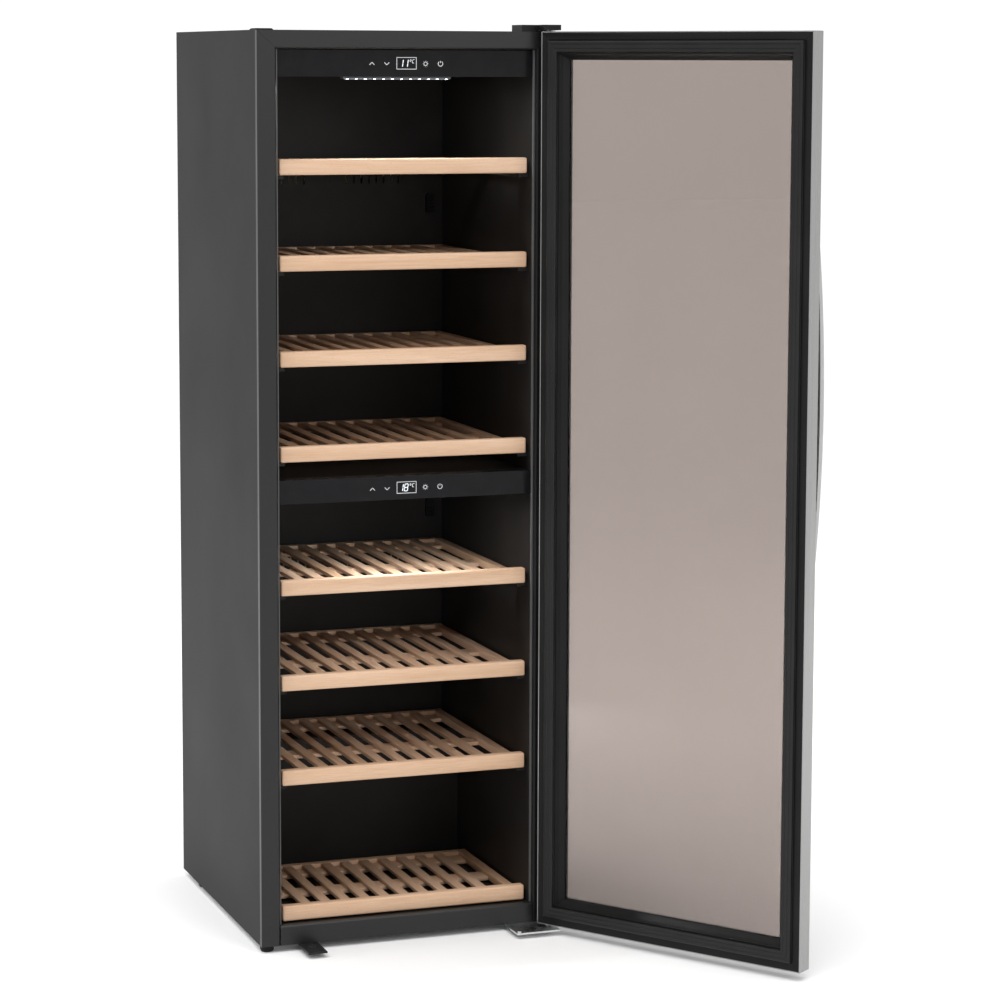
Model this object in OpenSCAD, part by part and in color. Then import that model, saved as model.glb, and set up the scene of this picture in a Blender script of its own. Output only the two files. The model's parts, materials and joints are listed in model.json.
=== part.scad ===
// Freestanding two-zone wine cooler: steel cabinet, glazed door, eight pull-out slatted shelves.
// Millimetres. Origin on the floor under the centre of the cabinet, +Z up, the front faces -Y.

/* [Cabinet] */
// Overall width of the cabinet
cab_w = 595; // [590:1:610]
// Depth of the cabinet without its door
cab_d = 624; // [620:1:650]
// Height of the cabinet body above its feet
cab_h = 1757; // [1757:1:1800]
// Visible height of the feet
foot_h = 13; // [12:1:18]
// Thickness of the insulated side walls
side_wall = 42; // [40:1:44]
// Thickness of the rear wall with its air duct
rear_wall = 68; // [68:1:80]

/* [Door] */
// Angle at which the door stands open
door_open = 125.6; // [0:0.1:135]
// Width of the door
door_w = 593; // [588:1:593]
// Thickness of the door without its handle
door_t = 37.2; // [37:0.1:42]
// Clear gap between the door and the cabinet, filled by the seal
door_gap = 8.1; // [8:0.1:10]
// Distance from the door's hinge edge to the hinge axis
pivot_edge = 14; // [13:0.5:15]
// Length of the bow handle
handle_len = 720; // [600:10:760]

/* [Shelves] */
// Width of a shelf
shelf_w = 498; // [480:1:500]
// Height of a shelf's front strip
strip_h = 30; // [28:1:32]
// Number of slats in a shelf
slats = 10; // [8:1:11]
// How far each shelf is pulled out
shelf_pull = 0; // [0:5:200]

/* [Hidden] */
half_w = cab_w / 2;
front_y = -cab_d / 2;
rear_y = cab_d / 2;
base_z = foot_h;
top_z = foot_h + cab_h;
sheet = 1;
frame_t = 1.2;
post_w = 38;
rail_face = 34.5;
bevel = 3;
wrap = 13;
mitre_gap = 0.15;
liner_t = 2;
room_half = half_w - side_wall;
liner_half = room_half + liner_t;
room_back = rear_y - rear_wall;
room_floor = base_z + 37;
room_top = top_z - 34;
step_y = 138;
step_z = 313;
duct_half = 250;
duct_y = room_back + 32;
duct_z0 = 345;
duct_z1 = room_top - 6;
bay_y = 177;
bay_z = 277;
cover_y = rear_y - 2;
back_y = rear_y - 12;
rim = 14;

upper_shelf_z = 1528;
upper_pitch = 182.3;
lower_shelf_z = 723;
lower_pitch = 185.5;
bottom_shelf_z = 84;
shelf_tops = concat(
    [for (i = [0:3]) upper_shelf_z - i * upper_pitch],
    [for (i = [0:2]) lower_shelf_z - i * lower_pitch],
    [bottom_shelf_z]);
shelf_front_y = front_y + 21;
strip_t = 20;
shelf_back_y = 232;
bottom_back_y = 72;
rail_w = 19;
rail_h = 15;
slat_w = 20;
slat_t = 7.5;
slat_pitch = 40.7;
bar_w = 45;
runner_w = 19;
runner_h = 8;

zone_z0 = 872;
zone_z1 = 918;
fascia_y = front_y + 12;
upper_panel_z0 = 1683;
panel_z1 = room_top - 2;
display_w = 40;
display_h = 23;
led_len = 218;

door_x0 = half_w - 1 - door_w;
door_z0 = 18;
door_h = top_z - door_z0;
door_in_y = front_y - door_gap;
door_out_y = door_in_y - door_t;
pivot_x = door_x0 + door_w - pivot_edge;
pivot_y = door_in_y - 19.6;
pin_r = 4;
pin_play = 0.05;
bush_r = 7;
bush_len = 20;
seat = door_t - frame_t;
pane_t = 4;
pane_in = 45.5;
inner_pane_v = 20;
outer_pane_v = door_t - 3 - pane_t;
handle_z = 1080;
handle_w = 22;
handle_x = door_x0 + 9.3;
bow_out = 40.6;
bow_in = 25;
bow_out_r = 1870;
bow_in_r = 2440;

slot_pitch = 16;
slot_x0 = 46;
slots_in_group = 8;
slot_w = 4;
slot_h = 41;
upper_slot_z = 1459;
lower_slot_z = 650;
fan_x = 102;
fan_y = room_back + liner_t;
fan_size = 80;
fan_depth = 24;
rotor_r = 36;
hub_r = 14;
blades = 7;
shaft_r = 1.5;

comp_x = 110;
comp_y = 240;
comp_r = 56;
comp_h = 130;
comp_foot_z = foot_h + 14;
foot_r = 13.5;
front_foot = [half_w - 16, front_y + 21];
rear_foot = [half_w - 20, 208];
stud_r = 4;
gland_x = -150;
gland_z = 120;
gland_r = 3.9;
arm_z = top_z + 2;
$fn = 48;

SHELVES = ["shelf_1", "shelf_2", "shelf_3", "shelf_4", "shelf_5", "shelf_6", "shelf_7", "shelf_8"];

// ---------- helpers ----------

// A box between two opposite corners.
module block(a, b) {
    translate(a) cube(b - a);
}

// Left and right copies about the middle plane of the cabinet.
module both_sides() {
    children();
    mirror([1, 0, 0]) children();
}

// An outline of [inwards, depth] points run along X.
module bar_of(outline, length) {
    rotate([90, 0, 90]) linear_extrude(length) polygon([for (p = outline) [p[1], p[0]]]);
}

// One side of a mitred ring, with its outer edge on z = 0 and its ends cut at 45 degrees.
module ring_side(outline, length, reach, gap) {
    intersection() {
        bar_of(outline, length);
        rotate([90, 0, 0]) linear_extrude(400, center = true)
            polygon([[gap, 0], [length - gap, 0], [length - gap - reach, reach], [gap + reach, reach]]);
    }
}

// A mitred rectangular ring from an outline; gap > 0 leaves four separate sides.
module ring(outline, w, h, reach, gap = 0) {
    ring_side(outline, w, reach, gap);
    translate([0, 0, h]) mirror([0, 0, 1]) ring_side(outline, w, reach, gap);
    mirror([1, 0, -1]) ring_side(outline, h, reach, gap);
    translate([w, 0, 0]) mirror([1, 0, 0]) mirror([1, 0, -1]) ring_side(outline, h, reach, gap);
}

// A round bar from point a to point b.
module rod(a, b, r) {
    d = b - a;
    length = norm(d);
    translate(a) rotate([0, acos(d[2] / length), atan2(d[1], d[0])]) cylinder(r = r, h = length);
}

// A bent bar through a list of points. Each straight length runs on a little past its corner,
// and every second one is slightly thinner, so that no two equal bars cross.
module tube(points, r) {
    last = len(points) - 2;
    thinner = 0.97;
    for (i = [0:last]) {
        u = (points[i + 1] - points[i]) / norm(points[i + 1] - points[i]);
        over = 0.8 * r * u;
        rod(points[i] - (i > 0 ? 1 : 0) * over, points[i + 1] + (i < last ? 1 : 0) * over,
            i % 2 == 0 ? r : r * thinner);
    }
}

// A half turn of tube in the XZ plane, open towards -X.
module u_bend(r, radius) {
    rotate([90, 0, 0]) rotate([0, 0, -90]) rotate_extrude(angle = 180) translate([radius, 0]) circle(r = r);
}

// Turns a piece of the closed door to its open position.
module on_door() {
    translate([pivot_x, pivot_y, 0]) rotate([0, 0, door_open]) translate([-pivot_x, -pivot_y, 0]) children();
}

// Places a ring whose depth runs outwards from the inner face of the door.
module door_ring(outline, reach, gap = 0) {
    translate([door_x0, door_in_y, door_z0]) mirror([0, 1, 0]) ring(outline, door_w, door_h, reach, gap);
}

// The two bush seats on the hinge axis, at the bottom and the top of the door.
module bush_seats(r, spare = 0) {
    for (z = [door_z0 - spare, door_z0 + door_h - bush_len])
        translate([pivot_x, pivot_y, z]) cylinder(r = r, h = bush_len + spare);
}

// The space above the mitre lines that run from the top corners to the frame's inner corners.
module mitre_wedge(gap) {
    outer = 0.5;
    inner = 1.5;
    rotate([90, 0, 0]) linear_extrude(2 * cab_d, center = true) polygon([
        [-half_w - outer * post_w, top_z + outer * rail_face - gap],
        [half_w + outer * post_w, top_z + outer * rail_face - gap],
        [half_w - inner * post_w, top_z - inner * rail_face - gap],
        [-half_w + inner * post_w, top_z - inner * rail_face - gap]]);
}

// ---------- cabinet shell ----------

// Outline of a front frame member of width w: flat face, bevel, return inwards and side wrap.
function frame_outline(w) = [[0, 0], [w - bevel, 0], [w, bevel], [w, 14], [w - frame_t, 14],
    [w - frame_t, bevel + 0.5], [w - bevel - 0.5, frame_t], [frame_t, frame_t], [frame_t, wrap], [0, wrap]];

module frame_post(side) {
    color("dimgray") scale([side, 1, 1]) difference() {
        translate([-half_w, front_y, base_z]) linear_extrude(cab_h) polygon(frame_outline(post_w));
        mitre_wedge(mitre_gap);
    }
}

module frame_rail_top() {
    color("dimgray") intersection() {
        translate([-half_w, front_y, top_z]) mirror([0, 0, 1]) bar_of(frame_outline(rail_face), cab_w);
        mitre_wedge(0);
    }
}

module frame_rail_bottom() {
    h = room_floor + 2 - base_z;
    w = cab_w - 2 * post_w - 0.4;
    outline = [[0, 0], [h - bevel, 0], [h, bevel], [h, 14], [h - frame_t, 14], [h - frame_t, bevel + 0.5],
        [h - bevel - 0.5, frame_t], [frame_t, frame_t], [frame_t, 14], [0, 14]];
    color("dimgray") translate([-w / 2, front_y, base_z]) bar_of(outline, w);
}

module side_panel() {
    color([0.2, 0.2, 0.21]) union() {
        block([-half_w, front_y + wrap + 0.2, base_z], [-half_w + sheet, rear_y, top_z]);
        block([-half_w, rear_y - sheet, base_z], [-half_w + rim, rear_y, top_z]);
    }
}

module top_panel() {
    x = half_w - sheet;
    color([0.2, 0.2, 0.21]) union() {
        block([-x, front_y + wrap + 0.2, top_z - sheet], [x, rear_y - sheet, top_z]);
        block([-x + rim, rear_y - 2 * sheet, top_z - rim], [x - rim, rear_y - sheet, top_z]);
    }
}

module back_panel() {
    x = half_w - sheet;
    color([0.25, 0.25, 0.26]) block([-x, back_y - sheet, bay_z + 2], [x, back_y, top_z - sheet]);
}

// Clearance hole for a foot's stud.
module stud_hole(p) {
    translate([p[0], p[1], base_z - 1]) cylinder(r = stud_r + pin_play, h = 4);
}

// One formed sheet: floor of the cabinet, front wall of the machine bay and the bay's roof.
module base_pan() {
    x = half_w - sheet;
    color([0.45, 0.46, 0.47]) difference() {
        union() {
            block([-x, front_y + 15, base_z], [x, bay_y, base_z + frame_t]);
            block([-x, bay_y - sheet, base_z], [x, bay_y, bay_z + sheet]);
            block([-x, bay_y - sheet, bay_z], [x, back_y - sheet, bay_z + sheet]);
        }
        both_sides() stud_hole(front_foot);
    }
}

module compressor_plate() {
    x = half_w - sheet;
    color([0.45, 0.46, 0.47]) difference() {
        union() {
            block([-x, bay_y, base_z], [x, cover_y, base_z + 2]);
            block([-x, cover_y - 2, base_z], [x, cover_y, base_z + 24]);
        }
        both_sides() stud_hole(rear_foot);
    }
}

module machine_cover() {
    x = half_w - 2 * sheet;
    z0 = base_z + 8;
    z1 = bay_z + 8;
    slot_rows = 9;
    slot_l = 130;
    color([0.25, 0.25, 0.26]) difference() {
        block([-x, cover_y, z0], [x, cover_y + sheet, z1]);
        for (col = [-1, 0, 1], row = [0:slot_rows - 1])
            translate([col * 165 - slot_l / 2, cover_y - 1, z0 + 50 + row * 22]) cube([slot_l, 4, 7]);
        translate([gland_x, cover_y - 1, gland_z]) rotate([-90, 0, 0]) cylinder(r = 9, h = 4);
    }
}

// The gland that the mains lead would pass through.
module cable_gland() {
    color([0.08, 0.08, 0.08]) translate([gland_x, cover_y, gland_z]) rotate([-90, 0, 0]) difference() {
        union() {
            translate([0, 0, sheet]) cylinder(r = 12, h = sheet);
            cylinder(r = 9, h = sheet);
            translate([0, 0, -14]) cylinder(r = 11, h = 14);
        }
        translate([0, 0, -15]) cylinder(r = gland_r, h = 20);
    }
}

// ---------- interior ----------

module liner_side() {
    color([0.08, 0.08, 0.085]) difference() {
        block([-liner_half, front_y + 15, room_floor], [-room_half, room_back, room_top]);
        block([-room_half - 5, step_y, room_floor - 1], [-room_half + 5, room_back + 1, step_z - liner_t]);
    }
}

module liner_ceiling() {
    color([0.08, 0.08, 0.085])
        block([-liner_half, front_y + 15, room_top], [liner_half, room_back, room_top + liner_t]);
}

module liner_floor() {
    color([0.08, 0.08, 0.085])
        block([-liner_half, front_y + 15, room_floor - liner_t], [liner_half, step_y, room_floor]);
}

// Two groups of upright air slots, one each side of the middle.
module air_slots(z, y) {
    for (side = [-1, 1], i = [0:slots_in_group - 1])
        translate([side * (slot_x0 + i * slot_pitch) - slot_w / 2, y - 1, z])
            cube([slot_w, liner_t + 2, slot_h]);
}

module liner_rear() {
    color([0.1, 0.1, 0.1]) difference() {
        block([-liner_half, room_back, step_z - liner_t], [liner_half, room_back + liner_t, room_top]);
        air_slots(upper_slot_z, room_back);
        air_slots(lower_slot_z, room_back);
    }
}

module liner_step() {
    color([0.1, 0.1, 0.1]) union() {
        block([-room_half, step_y, room_floor], [room_half, step_y + liner_t, step_z]);
        block([-room_half, step_y, step_z - liner_t], [room_half, room_back, step_z]);
    }
}

module foam_insulation() {
    x = half_w - sheet;
    color([0.85, 0.8, 0.6]) difference() {
        block([-x, front_y + 15, base_z + frame_t], [x, back_y - sheet, top_z - sheet]);
        block([-liner_half, front_y, step_z - liner_t],
              [liner_half, room_back + liner_t, room_top + liner_t]);
        block([-liner_half, front_y, room_floor - liner_t], [liner_half, step_y + liner_t, step_z]);
        block([-duct_half, room_back, duct_z0], [duct_half, duct_y, duct_z1]);
        block([-x - 1, bay_y - 1, 0], [x + 1, rear_y, bay_z + 1]);
        both_sides() block([front_foot[0] - 8, front_foot[1] - 8, base_z],
                           [front_foot[0] + 8, front_foot[1] + 8, base_z + 20]);
    }
}

module zone_divider() {
    color([0.06, 0.06, 0.065]) difference() {
        block([-room_half, fascia_y + 26, zone_z0], [room_half, room_back, zone_z1]);
        block([-room_half + 3, fascia_y + 29, zone_z0 + 3], [room_half - 3, room_back + 1, zone_z1 - 3]);
    }
}

module shelf_runners() {
    top_gap = 0.3;
    color([0.05, 0.05, 0.05]) both_sides() for (i = [0:7]) {
        z = shelf_tops[i] - strip_h - top_gap;
        back = i == 7 ? bottom_back_y - 10 : shelf_back_y - 10;
        floor_z = i == 7 ? room_floor : z - runner_h;
        block([-room_half, shelf_front_y + 14, floor_z], [-room_half + runner_w, back, z]);
    }
}

// ---------- controls, light, sensing ----------

// A fascia moulding, open at the top or at the back, with a pocket for the display window.
module control_panel(z0, z1, depth, open_top) {
    wall = 3;
    color([0.03, 0.03, 0.035]) difference() {
        block([-room_half, fascia_y, z0], [room_half, fascia_y + depth, z1]);
        block([-room_half + wall, fascia_y + wall, z0 + wall],
              [room_half - wall, fascia_y + depth - (open_top ? wall : -1), z1 - (open_top ? -1 : wall)]);
        display_pocket((z0 + z1) / 2);
    }
}

module display_pocket(z) {
    block([-display_w / 2 - 0.2, fascia_y - 1, z - display_h / 2 - 0.2],
          [display_w / 2 + 0.2, fascia_y + 1.4, z + display_h / 2 + 0.2]);
}

upper_key_z = (upper_panel_z0 + panel_z1) / 2;
lower_key_z = (zone_z0 + zone_z1) / 2;

module displays() {
    color([0.75, 0.78, 0.8]) for (z = [upper_key_z, lower_key_z])
        block([-display_w / 2, fascia_y + 0.2, z - display_h / 2],
              [display_w / 2, fascia_y + 1.4, z + display_h / 2]);
}

module control_boards() {
    color([0.1, 0.35, 0.2]) for (z = [upper_key_z, lower_key_z]) union() {
        block([-110, fascia_y + 5, z - 15], [110, fascia_y + 6.6, z + 15]);
        for (x = [-69, -40, 38, 67])
            translate([x, fascia_y + 5.2, z]) rotate([90, 0, 0]) cylinder(r = 5, h = 2.2);
        block([-90, fascia_y + 6.4, z - 10], [-40, fascia_y + 16, z + 10]);
    }
}

module led_strips() {
    y = fascia_y + 58;
    color([0.95, 0.97, 1]) for (z = [upper_panel_z0, zone_z0])
        block([-led_len / 2, y, z - 4.5], [led_len / 2, y + 16, z]);
}

module temperature_probes() {
    color([0.12, 0.12, 0.12]) for (z = [1414, 770]) difference() {
        union() {
            block([218, room_back - 12, z - 16], [234, room_back, z + 16]);
            translate([226, room_back, z + 16]) rotate([90, 0, 0]) cylinder(r = 8, h = 12);
        }
        for (i = [-1:1]) block([220, room_back - 13, z + i * 8 - 1.5], [232, room_back - 9, z + i * 8 + 1.5]);
    }
}

// ---------- cooling ----------

module evaporators() {
    run_half = 180;
    pitch = 60;
    y = duct_y - 8;
    color([0.8, 0.81, 0.83]) for (z = [1120, 400]) union() {
        block([-220, y + 2, z - 30], [220, y + 3.5, z + 210]);
        for (i = [0:3]) rod([-run_half, y, z + i * pitch], [run_half, y, z + i * pitch], 3);
        for (i = [0, 2]) translate([run_half, y, z + (i + 0.5) * pitch]) u_bend(3, pitch / 2);
        translate([-run_half, y, z + 1.5 * pitch]) mirror([1, 0, 0]) u_bend(3, pitch / 2);
    }
}

module fan_frame(z) {
    s = fan_size / 2;
    web = 2.6;
    translate([fan_x, fan_y, z]) {
        difference() {
            block([-s, 0, -s], [s, fan_depth, s]);
            translate([0, -1, 0]) rotate([-90, 0, 0]) cylinder(r = s - 2, h = fan_depth + 2);
            for (x = [-s + 4.5, s - 4.5], z = [-s + 4.5, s - 4.5])
                translate([x, -1, z]) rotate([-90, 0, 0]) cylinder(r = 2, h = fan_depth + 2);
        }
        translate([0, fan_depth - 3.2, 0]) rotate([-90, 0, 0]) cylinder(r = hub_r, h = 3);
        for (i = [0:2]) rotate([0, i * 120 + 90, 0])
            block([hub_r - 4, fan_depth - web - 0.4, -2], [s - 1, fan_depth - 0.4, 2]);
        translate([0, 4, 0]) rotate([-90, 0, 0]) cylinder(r = shaft_r, h = fan_depth - 6);
    }
}

upper_fan_z = upper_slot_z + slot_h / 2;
lower_fan_z = lower_slot_z + slot_h / 2;

module fan_frames() {
    color([0.06, 0.06, 0.06]) {
        fan_frame(upper_fan_z);
        fan_frame(lower_fan_z);
    }
}

module fan_rotor(z) {
    thick = fan_depth - 7;
    color([0.15, 0.15, 0.16]) translate([fan_x, fan_y + 2, z]) difference() {
        union() {
            rotate([-90, 0, 0]) cylinder(r = hub_r, h = thick);
            intersection() {
                for (i = [0:blades - 1]) rotate([0, i * 360 / blades, 0])
                    translate([hub_r - 1, thick / 2, 0]) rotate([38, 0, 0]) cube([rotor_r, 1.6, 20]);
                rotate([-90, 0, 0]) cylinder(r = rotor_r, h = thick);
            }
        }
        translate([0, 1, 0]) rotate([-90, 0, 0]) cylinder(r = shaft_r + pin_play, h = thick);
    }
}

// The welded compressor can, its terminal cover and its three pipe stubs.
module compressor() {
    foot_z = comp_foot_z;
    dome = [[0, 0], [comp_r - 12, 0], [comp_r - 3, 5], [comp_r, 16], [comp_r, 62], [comp_r + 3, 63],
        [comp_r + 3, 67], [comp_r, 68], [comp_r, comp_h - 34], [comp_r - 5, comp_h - 16],
        [comp_r - 18, comp_h - 4], [comp_r - 32, comp_h], [0, comp_h]];
    color([0.05, 0.05, 0.055]) difference() {
        union() {
            translate([comp_x, comp_y, foot_z + 3]) rotate_extrude() polygon(dome);
            block([comp_x - 85, comp_y - 50, foot_z], [comp_x + 85, comp_y + 50, foot_z + 3]);
            block([comp_x + comp_r - 8, comp_y - 24, foot_z + 40],
                  [comp_x + comp_r + 28, comp_y + 24, foot_z + 100]);
            rod([comp_x - 40, comp_y, foot_z + 90], [comp_x - 72, comp_y, foot_z + 90], 4);
            rod([comp_x - 36, comp_y + 30, foot_z + 60], [comp_x - 66, comp_y + 30, foot_z + 60], 4);
        }
        compressor_feet(base_z + 13) cylinder(r = 7, h = 6);
    }
}

// Copies at the four rubber mounts of the compressor.
module compressor_feet(z) {
    for (x = [-72, 72], y = [-40, 40]) translate([comp_x + x, comp_y + y, z]) children();
}

module compressor_grommets() {
    color([0.1, 0.1, 0.1]) compressor_feet(base_z + 2) difference() {
        union() {
            cylinder(r = 11, h = 12);
            cylinder(r = 7, h = 15);
            translate([0, 0, 15]) cylinder(r = 10, h = 3);
        }
        translate([0, 0, -1]) cylinder(r = 3.2, h = 30);
    }
}

module drip_tray() {
    z = comp_foot_z + 3 + comp_h;
    color([0.85, 0.85, 0.84]) difference() {
        block([comp_x - 85, comp_y - 48, z], [comp_x + 85, comp_y + 48, z + 26]);
        block([comp_x - 83, comp_y - 46, z + 2], [comp_x + 83, comp_y + 46, z + 30]);
    }
}

condenser_y = back_y + 6;
condenser_half = 230;
condenser_z0 = 420;
condenser_pitch = 76;
condenser_runs = 16;
condenser_r = 2.4;
condenser_top = condenser_z0 + (condenser_runs - 1) * condenser_pitch;
wire_r = 0.8;

// Height of run i of the condenser.
function run_z(i) = condenser_z0 + i * condenser_pitch;

// One tube in long runs, welded to four rows of tabs, between two layers of upright wires.
module condenser() {
    wire_off = condenser_r + wire_r + 0.05;
    color([0.05, 0.05, 0.05]) {
        union() {
            for (i = [0:condenser_runs - 1]) translate([-condenser_half, condenser_y, run_z(i)])
                rotate([0, 90, 0]) cylinder(r = condenser_r, h = 2 * condenser_half);
            for (i = [0:2:condenser_runs - 2]) translate([condenser_half, condenser_y, run_z(i + 0.5)])
                u_bend(condenser_r, condenser_pitch / 2);
            for (i = [1:2:condenser_runs - 2])
                translate([-condenser_half, condenser_y, run_z(i + 0.5)])
                    mirror([1, 0, 0]) u_bend(condenser_r, condenser_pitch / 2);
            for (side = [-1, 1], i = [1, 5, 10, 14])
                translate([side * (condenser_half - 6), 0, run_z(i)])
                    block([-5, back_y, -1], [5, condenser_y, 1]);
        }
        for (i = [0:36]) {
            x = -condenser_half + 14 + i * 12;
            y = condenser_y + (i % 2 == 0 ? wire_off : -wire_off);
            rod([x, y, condenser_z0 - 14], [x, y, condenser_top + 14], wire_r);
        }
    }
}

drier = [-220, 262, 70];

// Copper pipes between the compressor, the condenser, the filter drier and the two evaporators.
module refrigerant_pipes() {
    color([0.75, 0.42, 0.25]) {
        discharge_pipe(3);
        suction_pipe(3);
        liquid_pipe(condenser_r);
        capillary_pipe(1.5);
        filter_drier();
    }
}

module filter_drier() {
    neck = 3.5;
    body = 9;
    translate(drier) rotate_extrude() polygon([[0, 0], [neck, 0], [neck, 8], [body, 14], [body, 96],
        [neck, 102], [neck, 110], [0, 110]]);
}

module discharge_pipe(r) {
    z = comp_foot_z + 90;
    tube([[comp_x - 72, comp_y, z], [comp_x - 110, comp_y, z], [comp_x - 110, comp_y, 240],
          [-246, comp_y, 240], [-246, condenser_y, 262], [-246, condenser_y, condenser_z0],
          [-condenser_half, condenser_y, condenser_z0]], r);
}

module suction_pipe(r) {
    z = comp_foot_z + 60;
    tube([[comp_x - 66, comp_y + 30, z], [-60, comp_y + 30, z], [-60, comp_y + 30, 230],
          [-60, condenser_y, 262], [-60, condenser_y, 300], [-60, back_y, 300]], r);
}

module liquid_pipe(r) {
    tube([[-condenser_half, condenser_y, condenser_top], [-276, condenser_y, condenser_top],
          [-276, condenser_y, 262], [-276, drier[1], 240], [-276, drier[1], drier[2] - 12],
          [drier[0], drier[1], drier[2] - 12], [drier[0], drier[1], drier[2] + 2]], r);
}

module capillary_pipe(r) {
    tube([[drier[0], drier[1], drier[2] + 107], [drier[0], drier[1], 215], [-205, 292, 225],
          [-205, condenser_y, 240], [-205, condenser_y, 300], [-205, back_y, 300]], r);
}

// ---------- feet, hinges and brackets ----------

// A levelling foot: round pad, hexagonal collar and threaded stud.
module foot(p, stud) {
    translate([p[0], p[1], 0]) {
        cylinder(r1 = foot_r - 2, r2 = foot_r, h = 4, $fn = 64);
        translate([0, 0, 4]) cylinder(r = foot_r, h = foot_h - 4);
        translate([0, 0, foot_h - 1]) cylinder(r = stud_r, h = stud);
    }
}

module foot_front(side) {
    color([0.05, 0.05, 0.05]) scale([side, 1, 1]) foot(front_foot, 16);
}

module feet_rear() {
    color([0.05, 0.05, 0.05]) both_sides() foot(rear_foot, 14);
}

top_screw_x = [246, 264, 282];

module hinge_bracket_top() {
    color([0.7, 0.71, 0.72]) difference() {
        union() {
            block([236, front_y + 16, top_z], [292, front_y + 52, arm_z + 3]);
            block([pivot_x - 14, pivot_y - 4, arm_z], [292, front_y + 52, arm_z + 3]);
            translate([pivot_x, pivot_y, arm_z]) cylinder(r = 9.5, h = 3);
            translate([pivot_x, pivot_y, top_z - 17]) cylinder(r = pin_r, h = 22);
        }
        for (x = top_screw_x) translate([x, front_y + 38, top_z - 1]) cylinder(r = 2.6, h = 8);
    }
}

// The moulded cover over the top hinge, hollow from below.
module hinge_cover_top() {
    z0 = arm_z + 0.3;
    z1 = top_z + 12.7;
    y0 = pivot_y - 12;
    y1 = front_y + 58;
    color([0.04, 0.04, 0.045]) difference() {
        union() {
            block([229, front_y, top_z], [half_w, y1, z1]);
            block([pivot_x - 24, y0, z0], [half_w - 3, front_y + 1, z1]);
        }
        block([231, front_y + 2, top_z - 1], [half_w - 2, y1 - 2, z1 - 2]);
        block([pivot_x - 22, y0 + 2, z0 - 1], [half_w - 5, front_y + 3, z1 - 2]);
    }
}

module hinge_hole_cap() {
    color([0.04, 0.04, 0.045]) union() {
        block([-half_w + 2, front_y + 18, top_z], [-half_w + 37, front_y + 58, top_z + 2]);
        block([-half_w + 4, front_y + 20, top_z + 2], [-half_w + 35, front_y + 56, top_z + 3]);
    }
}

plate_t = 3.5;
bottom_plate_z = base_z - plate_t;
bottom_screws = [for (y = [26, 48]) [246, front_y + y]];
rest_x = -half_w + 75;
rest_screws = [for (x = [12, 26]) [rest_x + x, front_y + 19]];

// Lower hinge plate: the pin, the collar that the door rides on and a stop post at the front corner.
module hinge_bracket_bottom() {
    x0 = 202;
    stop = [x0 + 6, front_y - 64];
    color([0.7, 0.71, 0.72]) difference() {
        union() {
            block([x0, front_y - 70, bottom_plate_z], [half_w - 5, front_y + 6, base_z]);
            block([x0, front_y, bottom_plate_z], [half_w - 34, front_y + 60, base_z]);
            translate([pivot_x, pivot_y, bottom_plate_z]) cylinder(r = pin_r, h = 23);
            translate([pivot_x, pivot_y, bottom_plate_z])
                cylinder(r = bush_r - 0.5, h = door_z0 - bottom_plate_z - 0.1);
            translate([stop[0], stop[1], bottom_plate_z]) cylinder(r = 4.5, h = plate_t + 3.5);
        }
        for (p = bottom_screws)
            translate([p[0], p[1], bottom_plate_z - 1]) cylinder(r = 2.6, h = plate_t + 2);
    }
}

module door_rest_bracket() {
    boss = [rest_x + 19, front_y - 27];
    color([0.05, 0.05, 0.05]) difference() {
        union() {
            block([rest_x, front_y - 65, bottom_plate_z], [rest_x + 38, front_y + 26, base_z]);
            translate([boss[0], boss[1], bottom_plate_z]) cylinder(r = 9, h = plate_t + 3.5);
        }
        translate([boss[0], boss[1], bottom_plate_z - 1]) cylinder(r = 4, h = 12);
        for (p = rest_screws) translate([p[0], p[1], bottom_plate_z - 1]) cylinder(r = 2.6, h = plate_t + 2);
    }
}

// A pan-head screw with a cross recess, its head on z = 0 and its shank downwards.
module screw(shank) {
    difference() {
        union() {
            cylinder(r = 4.6, h = 2.6);
            translate([0, 0, -shank]) cylinder(r = 2.5, h = shank + 1);
        }
        block([-3, -0.5, 1.4], [3, 0.5, 4]);
        block([-0.5, -3, 1.4], [0.5, 3, 4]);
    }
}

module hinge_screws() {
    color([0.75, 0.75, 0.76]) {
        for (x = top_screw_x) translate([x, front_y + 38, arm_z + 3]) screw(5);
        for (p = concat(bottom_screws, rest_screws))
            translate([p[0], p[1], bottom_plate_z]) mirror([0, 0, 1]) screw(plate_t);
    }
}

// ---------- door ----------

corner_r = 2;
lip = 3;
skin_outline = concat([[0, 0]],
    [for (i = [0:6]) [corner_r - corner_r * cos(i * 15), door_t - corner_r + corner_r * sin(i * 15)]],
    [[50, door_t], [50, door_t - lip], [49, door_t - lip], [49, door_t - frame_t], [3, door_t - frame_t],
     [frame_t, door_t - 3], [frame_t, 1], [2, 1], [2, 0]]);

module door_frame() {
    color([0.72, 0.72, 0.72]) on_door() difference() {
        door_ring(skin_outline, 52, mitre_gap);
        bush_seats(bush_r, 2);
        stud_holes(handle_stud_r + 0.1, 6);
    }
}

// Round holes in the outer face of the door for the handle's studs.
module stud_holes(r, depth) {
    for (p = stud_at) translate([p[0], door_out_y - 1, p[1]]) rotate([-90, 0, 0])
        cylinder(r = r, h = depth + 1);
}

channel = [[17, 5], [20, 5], [20, 8], [37, 8], [37, 5], [40, 5]];
liner_frame_outline = concat([[frame_t + 0.1, 1.2], [2.2, 1.2], [2.2, 0], [17, 0]], channel,
    [[40, 0], [42, 0], [46, 7], [54, 17.5], [54, inner_pane_v], [45.2, inner_pane_v], [45.2, seat],
     [3.2, seat], [frame_t + 0.1, seat - 2.2]]);
chamber_outline = [[4.5, 12], [42, 12], [42, seat - 3.5], [4.5, seat - 3.5]];

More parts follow.
